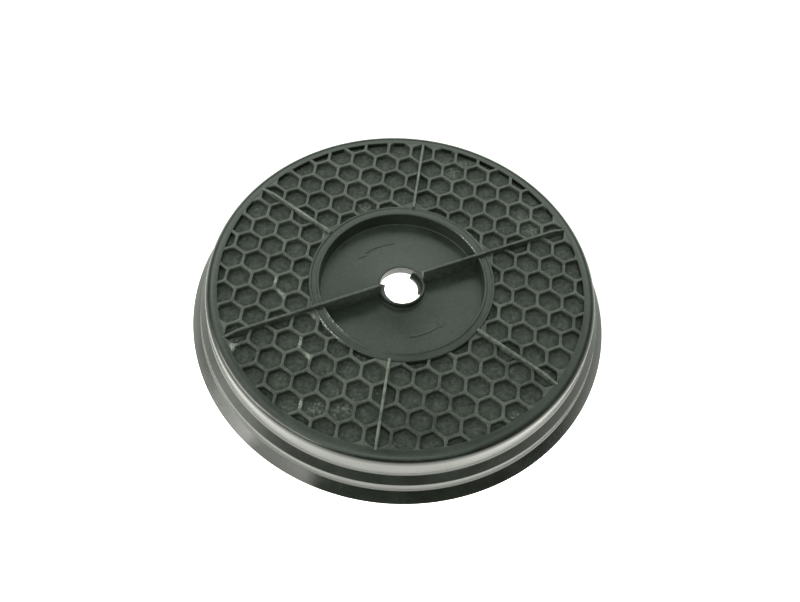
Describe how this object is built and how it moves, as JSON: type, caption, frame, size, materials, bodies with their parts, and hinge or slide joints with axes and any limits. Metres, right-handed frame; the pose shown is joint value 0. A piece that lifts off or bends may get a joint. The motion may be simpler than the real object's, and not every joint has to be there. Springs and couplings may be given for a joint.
{
  "type": "cooker hood carbon filter",
  "caption": "Round cassette of activated carbon with a honeycomb face, a dished centre with a grip bar and a bayonet hub.",
  "frame": {"origin": "on the axis, in the plane that the base rim stands on", "axes": "+Z along the axis, leaving the honeycomb face; +X along the grip bar"},
  "size_m": [0.21, 0.21, 0.03],
  "materials": {
    "case": "satin moulded charcoal plastic",
    "cover": "satin moulded charcoal plastic",
    "mat": "needled dark fleece",
    "carbon": "loose activated carbon granules"
  },
  "bodies": {
    "root": {"front_case": "case", "rear_cover": "cover", "front_mat": "mat", "carbon_bed": "carbon", "rear_mat": "mat"}
  },
  "joints": []
}
